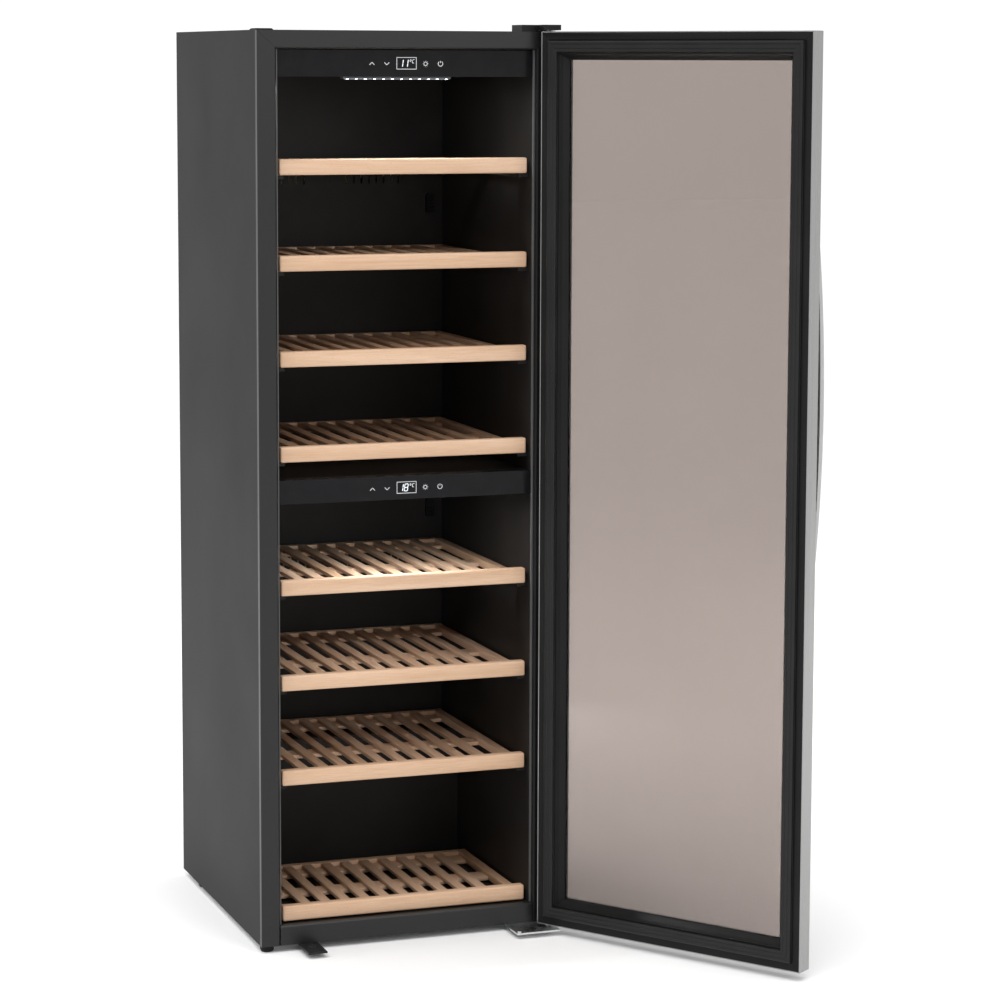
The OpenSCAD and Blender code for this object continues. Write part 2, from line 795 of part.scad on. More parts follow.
module door_liner_frame() {
    color([0.07, 0.07, 0.07]) on_door() difference() {
        door_ring(liner_frame_outline, 60, mitre_gap);
        door_ring(chamber_outline, 60);
        bush_seats(bush_r, 2);
        stud_holes(5, 9);
    }
}

seal_proud = door_gap - 0.5;
seal_outline = [[39.5, 5], [39.5, -5], [37.5, -seal_proud], [19.5, -seal_proud], [17.5, -5], [17.5, 5],
    [20.3, 5], [20.3, 8], [36.7, 8], [36.7, 5]];

module door_seal() {
    color([0.1, 0.1, 0.1]) on_door() door_ring(seal_outline, 42);
}

module pane(v) {
    translate([door_x0 + pane_in, door_in_y - v - pane_t, door_z0 + pane_in])
        cube([door_w - 2 * pane_in, pane_t, door_h - 2 * pane_in]);
}

module door_glass() {
    color([0.3, 0.27, 0.25, 0.5]) on_door() {
        pane(outer_pane_v);
        pane(inner_pane_v);
    }
}

spacer_outline = [[46, inner_pane_v + pane_t], [54, inner_pane_v + pane_t], [54, outer_pane_v],
    [46, outer_pane_v]];

module glass_spacer() {
    color([0.06, 0.06, 0.06]) on_door() door_ring(spacer_outline, 56);
}

module hinge_bushes() {
    color([0.85, 0.85, 0.83]) on_door() difference() {
        bush_seats(bush_r);
        bush_seats(pin_r + pin_play, 1);
        translate([pivot_x, pivot_y, top_z - 1]) cylinder(r = pin_r + pin_play, h = 2);
    }
}

handle_cut = 1.5;
stud_at = [for (side = [-1, 1]) [handle_x + handle_w / 2, handle_z + side * (handle_len / 2 - 6)]];
handle_stud_r = 2.4;

// A disc on the handle's side plane whose arc stands out from the door by rise, with bevelled rims.
module arc_disc(r, rise, cut) {
    translate([handle_x, door_out_y + r - rise, handle_z]) rotate([0, 90, 0]) rotate([0, 0, 90])
        rotate_extrude($fn = 360) polygon([[0, 0], [r - cut, 0], [r, cut], [r, handle_w - cut],
            [r - cut, handle_w], [0, handle_w]]);
}

// The bow handle between two large arcs, with two welded studs through the door's skin.
module door_handle() {
    color([0.72, 0.72, 0.72]) on_door() {
        intersection() {
            difference() {
                arc_disc(bow_out_r, bow_out, handle_cut);
                translate([handle_x - 1, door_out_y + bow_in_r - bow_in, handle_z]) rotate([0, 90, 0])
                    cylinder(r = bow_in_r, h = handle_w + 2, $fn = 360);
            }
            block([handle_x, door_out_y - 2 * bow_out, handle_z - handle_len / 2],
                  [handle_x + handle_w, door_out_y, handle_z + handle_len / 2]);
        }
        for (p = stud_at) translate([p[0], door_out_y - 2, p[1]]) rotate([-90, 0, 0])
            cylinder(r = handle_stud_r, h = 9);
    }
}

// ---------- shelves ----------

// A slatted shelf: raised front strip, side rails, back rail, laths underneath and slats on them.
module shelf(i) {
    top = shelf_tops[i];
    back = i == 7 ? bottom_back_y : shelf_back_y;
    bottom = top - strip_h;
    deck = bottom + rail_h;
    deck_y = shelf_front_y + strip_t;
    x = shelf_w / 2;
    mid = (deck_y + back - rail_w) / 2 - (i == 7 ? 0 : 18);
    color([0.86, 0.7, 0.54]) translate([0, -shelf_pull, 0]) union() {
        shelf_strip(x, top, bottom);
        both_sides() block([-x, deck_y, bottom], [-x + rail_w, back, deck]);
        block([-x + rail_w, back - rail_w, bottom], [x - rail_w, back, deck]);
        for (y = [deck_y, mid - bar_w / 2, back - rail_w - bar_w])
            block([-x + rail_w, y, bottom], [x - rail_w, y + bar_w, deck - slat_t]);
        for (k = [0:slats - 1]) {
            sx = (k - (slats - 1) / 2) * slat_pitch;
            block([sx - slat_w / 2, deck_y, deck - slat_t], [sx + slat_w / 2, back - rail_w, deck]);
        }
    }
}

// The front strip, with rounded upright edges.
module shelf_strip(x, top, bottom) {
    r = 5;
    translate([0, 0, bottom]) linear_extrude(top - bottom) union() {
        translate([-x, shelf_front_y + r]) square([2 * x, strip_t - r]);
        translate([-x + r, shelf_front_y]) square([2 * x - 2 * r, r]);
        for (s = [-1, 1]) translate([s * (x - r), shelf_front_y + r]) circle(r = r);
    }
}

shelf(0);  // shelf_1
shelf(1);  // shelf_2
shelf(2);  // shelf_3
shelf(3);  // shelf_4
shelf(4);  // shelf_5
shelf(5);  // shelf_6
shelf(6);  // shelf_7
shelf(7);  // shelf_8
side_panel();  // side_panel_left
mirror([1, 0, 0]) side_panel();  // side_panel_right
top_panel();
back_panel();
base_pan();
compressor_plate();
frame_post(1);  // frame_post_left
frame_post(-1);  // frame_post_right
frame_rail_top();
frame_rail_bottom();
liner_side();  // liner_left
mirror([1, 0, 0]) liner_side();  // liner_right
liner_ceiling();
liner_floor();
liner_rear();
liner_step();
foam_insulation();
zone_divider();
shelf_runners();
control_panel(upper_panel_z0, panel_z1, 90, true);  // control_panel_upper
control_panel(zone_z0, zone_z1, 26, false);  // control_panel_lower
displays();
control_boards();
led_strips();
temperature_probes();
evaporators();
fan_frames();
fan_rotor(upper_fan_z);  // fan_rotor_upper
fan_rotor(lower_fan_z);  // fan_rotor_lower
compressor();
compressor_grommets();
drip_tray();
condenser();
refrigerant_pipes();
machine_cover();
cable_gland();
foot_front(-1);  // foot_front_left
foot_front(1);  // foot_front_right
feet_rear();
hinge_bracket_top();
hinge_cover_top();
hinge_hole_cap();
hinge_bracket_bottom();
door_rest_bracket();
hinge_screws();
door_frame();
door_liner_frame();
door_seal();
door_glass();
glass_spacer();
door_handle();
hinge_bushes();
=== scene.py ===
"""Looks of the wine cooler: materials, wooden shelves, control marks, lamps, studio and camera."""
import json
import math
import random

import bmesh
import bpy
from mathutils import Matrix, Vector


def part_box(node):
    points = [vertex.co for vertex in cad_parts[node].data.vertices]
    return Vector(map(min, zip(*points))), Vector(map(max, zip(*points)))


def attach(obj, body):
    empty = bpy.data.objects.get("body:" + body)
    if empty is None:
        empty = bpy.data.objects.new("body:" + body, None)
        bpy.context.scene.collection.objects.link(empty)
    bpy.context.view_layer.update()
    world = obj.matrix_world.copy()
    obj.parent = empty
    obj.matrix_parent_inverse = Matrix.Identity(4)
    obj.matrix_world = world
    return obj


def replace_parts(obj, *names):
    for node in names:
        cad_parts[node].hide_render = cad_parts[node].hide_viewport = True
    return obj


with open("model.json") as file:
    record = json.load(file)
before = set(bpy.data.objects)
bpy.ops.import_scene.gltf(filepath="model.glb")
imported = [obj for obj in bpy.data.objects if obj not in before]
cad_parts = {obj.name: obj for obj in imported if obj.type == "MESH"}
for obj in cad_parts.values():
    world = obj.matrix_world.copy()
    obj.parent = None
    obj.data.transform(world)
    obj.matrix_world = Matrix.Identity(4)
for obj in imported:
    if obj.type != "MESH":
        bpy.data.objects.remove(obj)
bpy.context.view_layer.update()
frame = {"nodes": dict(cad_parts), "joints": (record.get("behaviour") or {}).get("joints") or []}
NODES = frame["nodes"]
MM = 0.001

# ON_DOOR carries a point of the closed door to where the door stands in the photo
HINGE = next(joint for joint in frame["joints"] if joint["name"] == "door_hinge")
PIVOT = Vector(HINGE["pos_m"])
OPENING = -math.radians(HINGE["range_deg"][0])
ON_DOOR = Matrix.Translation(PIVOT) @ Matrix.Rotation(OPENING, 4, "Z") @ Matrix.Translation(-PIVOT)

# the closed door: its free edge, its lower and upper ends and the plane of its inner face
DOOR_WIDTH = 0.593
DOOR_GAP = 0.0081
CABINET_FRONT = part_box("frame_post_left")[0].y
DOOR_BASE, DOOR_TOP = (corner.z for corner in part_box("door_frame"))
DOOR_FREE_X = 0.2965 - DOOR_WIDTH
DOOR_INNER_Y = CABINET_FRONT - DOOR_GAP


# ---------------------------------------------------------------- shader tools

class Shader:
    """A material under construction: short calls that add and link shader nodes."""

    def __init__(self, name):
        self.material = bpy.data.materials.new(name)
        self.material.use_nodes = True
        self.tree = self.material.node_tree
        self.bsdf = self.tree.nodes["Principled BSDF"]
        self.coordinates = self.add("ShaderNodeTexCoord").outputs["Object"]

    def add(self, kind, **settings):
        node = self.tree.nodes.new(kind)
        for key, value in settings.items():
            setattr(node, key, value)
        return node

    def link(self, source, target):
        self.tree.links.new(source, target)

    def put(self, socket, value):
        """Sets a socket to a number or colour, or links an output to it."""
        if isinstance(value, bpy.types.NodeSocket):
            self.link(value, socket)
        elif isinstance(value, tuple) and len(value) == 3 and socket.type == "RGBA":
            socket.default_value = (*value, 1)
        else:
            socket.default_value = value

    def scaled(self, scale, source=None):
        """Coordinates stretched by a factor per axis."""
        node = self.add("ShaderNodeMapping")
        self.link(source or self.coordinates, node.inputs["Vector"])
        node.inputs["Scale"].default_value = scale
        return node.outputs["Vector"]

    def noise(self, vector, scale, detail, roughness=0.55, distortion=0.0):
        node = self.add("ShaderNodeTexNoise")
        self.link(vector, node.inputs["Vector"])
        node.inputs["Scale"].default_value = scale
        node.inputs["Detail"].default_value = detail
        node.inputs["Roughness"].default_value = roughness
        node.inputs["Distortion"].default_value = distortion
        return node.outputs["Fac"]

    def ramp(self, factor, stops):
        """A colour ramp; each stop is (position, colour)."""
        node = self.add("ShaderNodeValToRGB")
        self.link(factor, node.inputs["Fac"])
        ramp = node.color_ramp
        while len(ramp.elements) < len(stops):
            ramp.elements.new(0.5)
        for element, (position, colour) in zip(ramp.elements, stops):
            element.position = position
            element.color = (*colour, 1)
        return node.outputs["Color"]

    def fit(self, value, low, high, new_low, new_high):
        """Maps a value from one range to another."""
        node = self.add("ShaderNodeMapRange")
        self.put(node.inputs["Value"], value)
        limits = {"From Min": low, "From Max": high, "To Min": new_low, "To Max": new_high}
        for key, number in limits.items():
            node.inputs[key].default_value = number
        return node.outputs["Result"]

    def math(self, operation, a, b):
        node = self.add("ShaderNodeMath", operation=operation)
        self.put(node.inputs[0], a)
        self.put(node.inputs[1], b)
        return node.outputs[0]

    def mix(self, factor, a, b, blend="MIX"):
        node = self.add("ShaderNodeMix", data_type="RGBA", blend_type=blend)
        self.put(node.inputs["Factor"], factor)
        self.put(node.inputs["A"], a)
        self.put(node.inputs["B"], b)
        return node.outputs["Result"]

    def bump(self, height, distance, strength):
        """Fine relief from a height pattern; distance is the depth in metres."""
        node = self.add("ShaderNodeBump")
        self.link(height, node.inputs["Height"])
        node.inputs["Distance"].default_value = distance
        node.inputs["Strength"].default_value = strength
        self.link(node.outputs["Normal"], self.bsdf.inputs["Normal"])

    def surface(self, **values):
        """Sets sockets of the main shader; underscores stand for spaces."""
        for key, value in values.items():
            self.put(self.bsdf.inputs[key.replace("_", " ")], value)
        return self.material


# ---------------------------------------------------------------- materials

def coated_steel(name, dark, light, roughness, specular=0.14):
    """Powder-coated sheet: fine orange-peel texture and slow cloudy variation."""
    s = Shader(name)
    cloud = s.noise(s.coordinates, 3.0, detail=4.0)
    peel = s.noise(s.coordinates, 900.0, detail=2.0)
    s.bump(peel, 0.00006, 0.5)
    return s.surface(Base_Color=s.ramp(cloud, [(0.3, dark), (0.7, light)]),
                     Roughness=s.fit(cloud, 0.3, 0.7, roughness - 0.03, roughness + 0.04),
                     Metallic=0.0, Specular_IOR_Level=specular)


def moulded_plastic(name, dark, light, roughness):
    """Moulded or extruded plastic with a fine erosion grain."""
    s = Shader(name)
    cloud = s.noise(s.coordinates, 8.0, detail=3.0)
    fine = s.noise(s.coordinates, 700.0, detail=3.0)
    s.bump(fine, 0.00008, 0.25)
    return s.surface(Base_Color=s.ramp(cloud, [(0.3, dark), (0.7, light)]),
                     Roughness=s.fit(fine, 0.3, 0.7, roughness - 0.04, roughness + 0.05),
                     Specular_IOR_Level=0.14)


def brushed(s, colour, lines, roughness):
    """Finishes a shader as brushed stainless steel from its pattern of lines."""
    cloud = s.noise(s.coordinates, 5.0, detail=2.0)
    dark = tuple(c * 0.91 for c in colour)
    tint = s.mix(s.fit(lines, 0.3, 0.7, 0.0, 1.0), dark, colour)
    rough = s.math("ADD", s.fit(lines, 0.3, 0.7, roughness - 0.04, roughness + 0.06),
                   s.fit(cloud, 0.3, 0.7, -0.02, 0.03))
    s.bump(lines, 0.00002, 0.3)
    return s.surface(Base_Color=tint, Metallic=1.0, Roughness=rough)


def brushed_upright(name, colour, roughness):
    """Brushed stainless steel with upright brushing lines."""
    s = Shader(name)
    lines = s.noise(s.scaled((2400.0, 2400.0, 5.0)), 1.0, detail=4.0, roughness=0.6)
    return brushed(s, colour, lines, roughness)


def brushed_ring(name, colour, roughness):
    """Brushed steel of the door skin: the lines run along each mitred length, and turn at the mitres."""
    s = Shader(name)
    turn = s.add("ShaderNodeMapping", vector_type="TEXTURE")
    s.link(s.coordinates, turn.inputs["Vector"])
    turn.inputs["Rotation"].default_value = (0, 0, OPENING)
    turn.inputs["Location"].default_value = tuple(ON_DOOR.translation)
    closed = turn.outputs["Vector"]
    axes = s.add("ShaderNodeSeparateXYZ")
    s.link(closed, axes.inputs["Vector"])

    def edge_distance(value, low, high):
        return s.math("MINIMUM", s.math("SUBTRACT", value, low), s.math("SUBTRACT", high, value))

    across = edge_distance(axes.outputs["X"], DOOR_FREE_X, DOOR_FREE_X + DOOR_WIDTH)
    upright = edge_distance(axes.outputs["Z"], DOOR_BASE, DOOR_TOP)
    is_stile = s.math("GREATER_THAN", upright, across)
    stile = s.noise(s.scaled((2200.0, 2200.0, 5.0), closed), 1.0, detail=3.0)
    rail = s.noise(s.scaled((5.0, 2200.0, 2200.0), closed), 1.0, detail=3.0)
    lines = s.mix(is_stile, rail, stile)
    return brushed(s, colour, lines, roughness)


def glossy_panel(name):
    """Polished black fascia with faint smudges."""
    s = Shader(name)
    smudge = s.noise(s.coordinates, 30.0, detail=5.0, roughness=0.7)
    colour = s.ramp(smudge, [(0.3, (0.006, 0.006, 0.007)), (0.8, (0.010, 0.010, 0.011))])
    return s.surface(Base_Color=colour, Roughness=s.fit(smudge, 0.35, 0.75, 0.10, 0.18),
                     Specular_IOR_Level=0.12)


def beech(name):
    """Oiled beech. The attribute grain holds (along, across, through) for each plank, in metres."""
    s = Shader(name)
    grain = s.add("ShaderNodeAttribute", attribute_name="grain").outputs["Vector"]
    figure = s.noise(s.scaled((1.6, 26.0, 26.0), grain), 1.0, detail=5.0, roughness=0.55, distortion=0.6)
    fibre = s.noise(s.scaled((18.0, 900.0, 900.0), grain), 1.0, detail=3.0, roughness=0.6)
    fleck = s.noise(s.scaled((260.0, 1700.0, 1700.0), grain), 1.0, detail=1.0)
    plank = s.noise(s.scaled((0.5, 1.2, 1.2), grain), 1.0, detail=0.0)
    light = (0.70, 0.50, 0.355)
    deep = (0.53, 0.335, 0.205)
    middle = tuple((a + b) / 2 for a, b in zip(light, deep))
    base = s.ramp(figure, [(0.32, deep), (0.52, middle), (0.72, light)])
    toned = s.mix(s.fit(plank, 0.3, 0.7, 0.0, 0.35), base, tuple(c * 1.08 for c in light))
    lined = s.mix(s.fit(fibre, 0.35, 0.7, 0.0, 0.28), toned, deep, "MULTIPLY")
    flecked = s.mix(s.fit(fleck, 0.66, 0.74, 0.0, 0.55), lined, tuple(c * 0.62 for c in deep))
    s.bump(fibre, 0.00012, 0.5)
    return s.surface(Base_Color=flecked, Roughness=s.fit(fibre, 0.3, 0.7, 0.42, 0.58),
                     Specular_IOR_Level=0.4)


def tinted_glass(name, tint):
    """Clear tinted glass of the panes."""
    s = Shader(name)
    haze = s.noise(s.coordinates, 2.0, detail=2.0)
    colour = s.ramp(haze, [(0.3, tint), (0.7, tuple(c * 1.02 for c in tint))])
    return s.surface(Base_Color=colour, Roughness=0.0, Transmission_Weight=1.0, IOR=1.45)


def rubber(name):
    """Dark, slightly satin rubber."""
    s = Shader(name)
    cloud = s.noise(s.coordinates, 12.0, detail=3.0)
    fine = s.noise(s.coordinates, 400.0, detail=2.0)
    colour = s.ramp(cloud, [(0.3, (0.0075, 0.0075, 0.0077)), (0.7, (0.0115, 0.0115, 0.0117))])
    s.bump(fine, 0.00005, 0.15)
    return s.surface(Base_Color=colour, Roughness=s.fit(cloud, 0.3, 0.7, 0.36, 0.46),
                     Specular_IOR_Level=0.25)


def bare_metal(name, dark, light, roughness):
    """Plated or bare metal with soft stains."""
    s = Shader(name)
    cloud = s.noise(s.coordinates, 40.0, detail=5.0, roughness=0.65)
    fine = s.noise(s.coordinates, 1200.0, detail=2.0)
    s.bump(fine, 0.00003, 0.4)
    return s.surface(Base_Color=s.ramp(cloud, [(0.3, dark), (0.7, light)]), Metallic=1.0,
                     Roughness=s.fit(cloud, 0.3, 0.7, roughness - 0.06, roughness + 0.08))


def foam(name):
    """Yellow insulating foam with open cells."""
    s = Shader(name)
    cells = s.noise(s.coordinates, 500.0, detail=4.0)
    colour = s.ramp(cells, [(0.3, (0.62, 0.52, 0.27)), (0.7, (0.78, 0.69, 0.42))])
    s.bump(cells, 0.0005, 0.6)
    return s.surface(Base_Color=colour, Roughness=0.85)


def glow(name, colour, strength, body=(0.5, 0.5, 0.5)):
    """A lit surface, slightly uneven."""
    s = Shader(name)
    uneven = s.noise(s.coordinates, 200.0, detail=1.0)
    s.put(s.bsdf.inputs["Emission Strength"], s.fit(uneven, 0.2, 0.8, strength * 0.85, strength * 1.1))
    return s.surface(Base_Color=body, Emission_Color=colour, Roughness=0.4)


PANEL_GREY = coated_steel("panel_grey", (0.014, 0.0141, 0.0143), (0.0165, 0.0166, 0.0169), 0.42, 0.035)
FRAME_GREY = coated_steel("frame_grey", (0.009, 0.0091, 0.0093), (0.012, 0.0121, 0.0123), 0.34, 0.34)
# painted shade: the right post is the frame paint made darker and less glossy, for the shadow that the open
# door casts on it
PAINTED_SHADE_POST = coated_steel("painted_shade_post", (0.007, 0.0071, 0.0072), (0.009, 0.0091, 0.0092), 0.34, 0.15)
BACK_GREY = coated_steel("back_grey", (0.045, 0.046, 0.047), (0.055, 0.056, 0.058), 0.5)
GALVANISED = bare_metal("galvanised", (0.42, 0.43, 0.44), (0.58, 0.59, 0.60), 0.42)
LINER = moulded_plastic("liner_black", (0.016, 0.0148, 0.014), (0.022, 0.0205, 0.0195), 0.42)
BLACK_PLASTIC = moulded_plastic("black_plastic", (0.006, 0.006, 0.0062), (0.009, 0.009, 0.0093), 0.38)
DOOR_PROFILE = moulded_plastic("door_profile", (0.0065, 0.0065, 0.0065), (0.009, 0.009, 0.009), 0.34)
GLOSS_BLACK = glossy_panel("gloss_black")
DOOR_STEEL = brushed_ring("door_steel", (0.35, 0.35, 0.347), 0.28)
HANDLE_STEEL = brushed_upright("handle_steel", (0.46, 0.46, 0.457), 0.24)
ZINC = bare_metal("zinc_steel", (0.55, 0.56, 0.57), (0.72, 0.73, 0.74), 0.3)
BLACK_STEEL = coated_steel("black_steel", (0.012, 0.012, 0.013), (0.018, 0.018, 0.019), 0.4)
ALUMINIUM = bare_metal("aluminium_sheet", (0.70, 0.71, 0.72), (0.82, 0.83, 0.84), 0.34)
COPPER = bare_metal("copper_pipe", (0.60, 0.25, 0.13), (0.80, 0.42, 0.26), 0.3)
SEAL = rubber("seal_rubber")
TRAY = moulded_plastic("tray_plastic", (0.62, 0.62, 0.60), (0.70, 0.70, 0.68), 0.5)
ACETAL = moulded_plastic("acetal", (0.70, 0.70, 0.68), (0.78, 0.78, 0.76), 0.4)
BEAD = moulded_plastic("liner_bead", (0.085, 0.085, 0.085), (0.11, 0.11, 0.11), 0.35)
BOARD = moulded_plastic("circuit_board", (0.010, 0.085, 0.035), (0.014, 0.11, 0.045), 0.35)
FOAM = foam("insulation_foam")
GLASS = tinted_glass("tinted_glass", (0.566, 0.514, 0.49))
LED = moulded_plastic("led_cover", (0.10, 0.10, 0.105), (0.13, 0.13, 0.135), 0.3)
LED_LINE = glow("led_line", (0.80, 0.90, 1.0), 1.3)
MARK = glow("panel_mark", (0.75, 0.80, 0.85), 0.22)
DIGIT = glow("display_digit", (0.85, 0.93, 1.0), 0.8)
DIODE = glow("led_diode", (0.88, 0.94, 1.0), 9.0, (0.9, 0.9, 0.9))
BEECH = beech("beech")

NODE_MATERIALS = {
    "side_panel_left": PANEL_GREY, "side_panel_right": PANEL_GREY, "top_panel": PANEL_GREY,
    "back_panel": BACK_GREY, "machine_cover": BACK_GREY, "base_pan": GALVANISED,
    # the right post takes the shaded copy of the frame paint, which is painted shade
    "compressor_plate": GALVANISED, "frame_post_left": FRAME_GREY, "frame_post_right": PAINTED_SHADE_POST,
    "frame_rail_top": FRAME_GREY, "frame_rail_bottom": FRAME_GREY, "liner_left": LINER,
    "liner_right": LINER, "liner_ceiling": LINER, "liner_floor": LINER, "liner_rear": LINER,
    "liner_step": LINER, "foam_insulation": FOAM, "zone_divider": LINER, "shelf_runners": LINER,
    "control_panel_upper": GLOSS_BLACK, "control_panel_lower": GLOSS_BLACK, "displays": GLOSS_BLACK,
    "control_boards": BOARD, "led_strips": LED, "temperature_probes": BLACK_PLASTIC,
    "evaporators": ALUMINIUM, "fan_frames": BLACK_PLASTIC, "fan_rotor_upper": BLACK_PLASTIC,
    "fan_rotor_lower": BLACK_PLASTIC, "compressor": BLACK_STEEL, "compressor_grommets": SEAL,
    "drip_tray": TRAY, "condenser": BLACK_STEEL, "refrigerant_pipes": COPPER, "cable_gland": BLACK_PLASTIC,
    "foot_front_left": BLACK_PLASTIC, "foot_front_right": BLACK_PLASTIC, "feet_rear": BLACK_PLASTIC,
    "hinge_bracket_top": ZINC, "hinge_cover_top": BLACK_PLASTIC, "hinge_hole_cap": BLACK_PLASTIC,
    "hinge_bracket_bottom": ZINC, "door_rest_bracket": BLACK_STEEL, "hinge_screws": ZINC,
    "door_frame": DOOR_STEEL, "door_liner_frame": DOOR_PROFILE, "door_seal": SEAL, "door_glass": GLASS,
    "glass_spacer": BLACK_PLASTIC, "door_handle": HANDLE_STEEL, "hinge_bushes": ACETAL,
}


for node_name, node_material in NODE_MATERIALS.items():
    materials = NODES[node_name].data.materials
    materials.clear()
    materials.append(node_material)


# ---------------------------------------------------------------- mesh tools

def piece_from(bm, name, body, material):
    """Makes an object from a bmesh, shades it smooth by angle and rides it on a body."""
    bmesh.ops.recalc_face_normals(bm, faces=bm.faces)
    mesh = bpy.data.meshes.new(name)
    bm.to_mesh(mesh)
    bm.free()
    mesh.materials.append(material)
    piece = bpy.data.objects.new(name, mesh)
    bpy.context.scene.collection.objects.link(piece)
    mesh.shade_smooth()
    mesh.set_sharp_from_angle(angle=math.radians(30))
    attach(piece, body)
    return piece


def rounded_box(bm, low, high, radius, segments=2):
    """Adds a box with rounded edges and returns its vertices."""
    made = bmesh.ops.create_cube(bm, size=1.0)["verts"]
    low, high = Vector(low), Vector(high)
    size = high - low
    for v in made:
        v.co = Vector([low[i] + (v.co[i] + 0.5) * size[i] for i in range(3)])
    edges = list({e for v in made for e in v.link_edges})
    done = bmesh.ops.bevel(bm, geom=edges, offset=radius, segments=segments, affect="EDGES", profile=0.5)
    return list({v for f in done["faces"] for v in f.verts} | {v for v in made if v.is_valid})


class Planks:
    """A wooden piece made of planks; each keeps its own grain direction and offset."""

    def __init__(self, seed):
        self.bm = bmesh.new()
        self.grain = self.bm.verts.layers.float_vector.new("grain")
        self.random = random.Random(seed)

    def plank(self, low, high, along, radius=0.0012, segments=2):
        """Adds a plank; along is the index of the axis that its grain follows."""
        made = rounded_box(self.bm, low, high, radius, segments)
        offset = Vector([self.random.uniform(-40, 40) for _ in range(3)])
        order = [along] + [i for i in range(3) if i != along]
        for v in made:
            v[self.grain] = Vector([v.co[i] for i in order]) + offset

    def finish(self, name, body):
        return piece_from(self.bm, name, body, BEECH)


# ---------------------------------------------------------------- shelves

STRIP_DEPTH = 0.020
RAIL_WIDTH = 0.019
RAIL_HEIGHT = 0.015
SLAT_WIDTH = 0.020
SLAT_THICK = 0.0075
SLAT_PITCH = 0.0407
BAR_WIDTH = 0.045
BAR_FORWARD = 0.018
SLATS = 10
SHORT_SHELF = 8


def make_shelf(number):
    """One slatted shelf, plank by plank, in the box of its CAD node."""
    node = f"shelf_{number}"
    low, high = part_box(node)
    deck = low.z + RAIL_HEIGHT
    under = deck - SLAT_THICK
    deck_front = low.y + STRIP_DEPTH
    rear = high.y - RAIL_WIDTH
    wood = Planks(seed=number)
    wood.plank(low, (high.x, deck_front, high.z), 0, radius=0.0035, segments=4)
    for x0, x1 in ((low.x, low.x + RAIL_WIDTH), (high.x - RAIL_WIDTH, high.x)):
        wood.plank((x0, deck_front, low.z), (x1, high.y, deck), 1)
    wood.plank((low.x + RAIL_WIDTH, rear, low.z), (high.x - RAIL_WIDTH, high.y, deck), 0)
    middle = (deck_front + rear) / 2 - (BAR_FORWARD if number < SHORT_SHELF else 0)
    for y0 in (deck_front, middle - BAR_WIDTH / 2, rear - BAR_WIDTH):
        wood.plank((low.x + RAIL_WIDTH, y0, low.z), (high.x - RAIL_WIDTH, y0 + BAR_WIDTH, under), 0)
    for k in range(SLATS):
        x = (k - (SLATS - 1) / 2) * SLAT_PITCH
        wood.plank((x - SLAT_WIDTH / 2, deck_front, under), (x + SLAT_WIDTH / 2, rear, deck), 1)
    shelf = wood.finish(f"slatted_shelf_{number}", node)
    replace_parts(shelf, node)


for shelf_number in range(1, SHORT_SHELF + 1):
    make_shelf(shelf_number)


# ---------------------------------------------------------------- displays, keys and lamps

MARK_DEPTH = 0.00015
DISPLAY_RIM = 0.0011

DIGIT_WIDTH, DIGIT_HEIGHT = 0.0066, 0.0135
DIGIT_LEFT, DIGIT_PITCH = 0.0052, 0.0098
SMALL_WIDTH, SMALL_HEIGHT = 0.0036, 0.0062
DEGREE_LEFT, UNIT_LEFT = 0.0262, 0.0315
SLANT = 0.14
SEGMENTS = {"1": "bc", "8": "abcdefg", "C": "adef", "o": "abfg"}

KEYS = {"up": -0.069, "down": -0.0395, "light": 0.038, "power": 0.068}
KEY_DROP = 0.0008
KEY_LINE = 0.0012
ARROW_WING, ARROW_RISE = 0.0050, 0.0052
LAMP_RING = 0.0034
RAY_START, RAY_END = 0.0048, 0.0060
POWER_RING = 0.0046
POWER_ARC = (122, 418)
POWER_BAR = (0.0012, 0.0058)

DIODES = 12
DIODE_WIDTH = 0.0044
DIODE_ROUND = 0.0003
LAMP_END = 0.003


def plate(bm, outline, y):
    """Adds a thin plate with an outline of (x, z) points, half sunk into the face at y."""
    front = [bm.verts.new((x, y - MARK_DEPTH, z)) for x, z in outline]
    back = [bm.verts.new((x, y + MARK_DEPTH, z)) for x, z in outline]
    bm.faces.new(front)
    bm.faces.new(reversed(back))
    for i in range(len(outline)):
        j = (i + 1) % len(outline)
        bm.faces.new((front[i], back[i], back[j], front[j]))


def stroke(bm, start, end, width, y):
    """Adds a bar with pointed ends between two (x, z) points."""
    a, b = Vector(start), Vector(end)
    along = (b - a).normalized() * (width / 2)
    side = Vector((-along.y, along.x))
    outline = (a, a + along + side, b - along + side, b, b - along - side, a + along - side)
    plate(bm, [tuple(p) for p in outline], y)


def circle(bm, centre, radius, width, y, first=0, last=360):
    """Adds an open or closed ring of short bars, from one angle to another in degrees."""
    steps = 24
    points = []
    for k in range(steps + 1):
        angle = math.radians(first + (last - first) * k / steps)
        points.append((centre[0] + radius * math.cos(angle), centre[1] + radius * math.sin(angle)))
    inner, outer = 1 - width / 2 / radius, 1 + width / 2 / radius
    for a, b in zip(points, points[1:]):
        quad = [(centre[0] + (p[0] - centre[0]) * f, centre[1] + (p[1] - centre[1]) * f)
                for p, f in ((a, inner), (a, outer), (b, outer), (b, inner))]
        plate(bm, quad, y)


def digit(bm, kind, x, z, width, height, y):
    """A slanted seven-segment character with its lower left corner at (x, z)."""
    bar = height * 0.11
    half = height / 2
    ends = {
        "a": ((0, height), (width, height)), "b": ((width, height), (width, half)),
        "c": ((width, half), (width, 0)), "d": ((0, 0), (width, 0)), "e": ((0, half), (0, 0)),
        "f": ((0, height), (0, half)), "g": ((0, half), (width, half)),
    }
    for segment in SEGMENTS[kind]:
        (x0, z0), (x1, z1) = ends[segment]
        stroke(bm, (x + x0 + SLANT * z0, z + z0), (x + x1 + SLANT * z1, z + z1), bar, y)


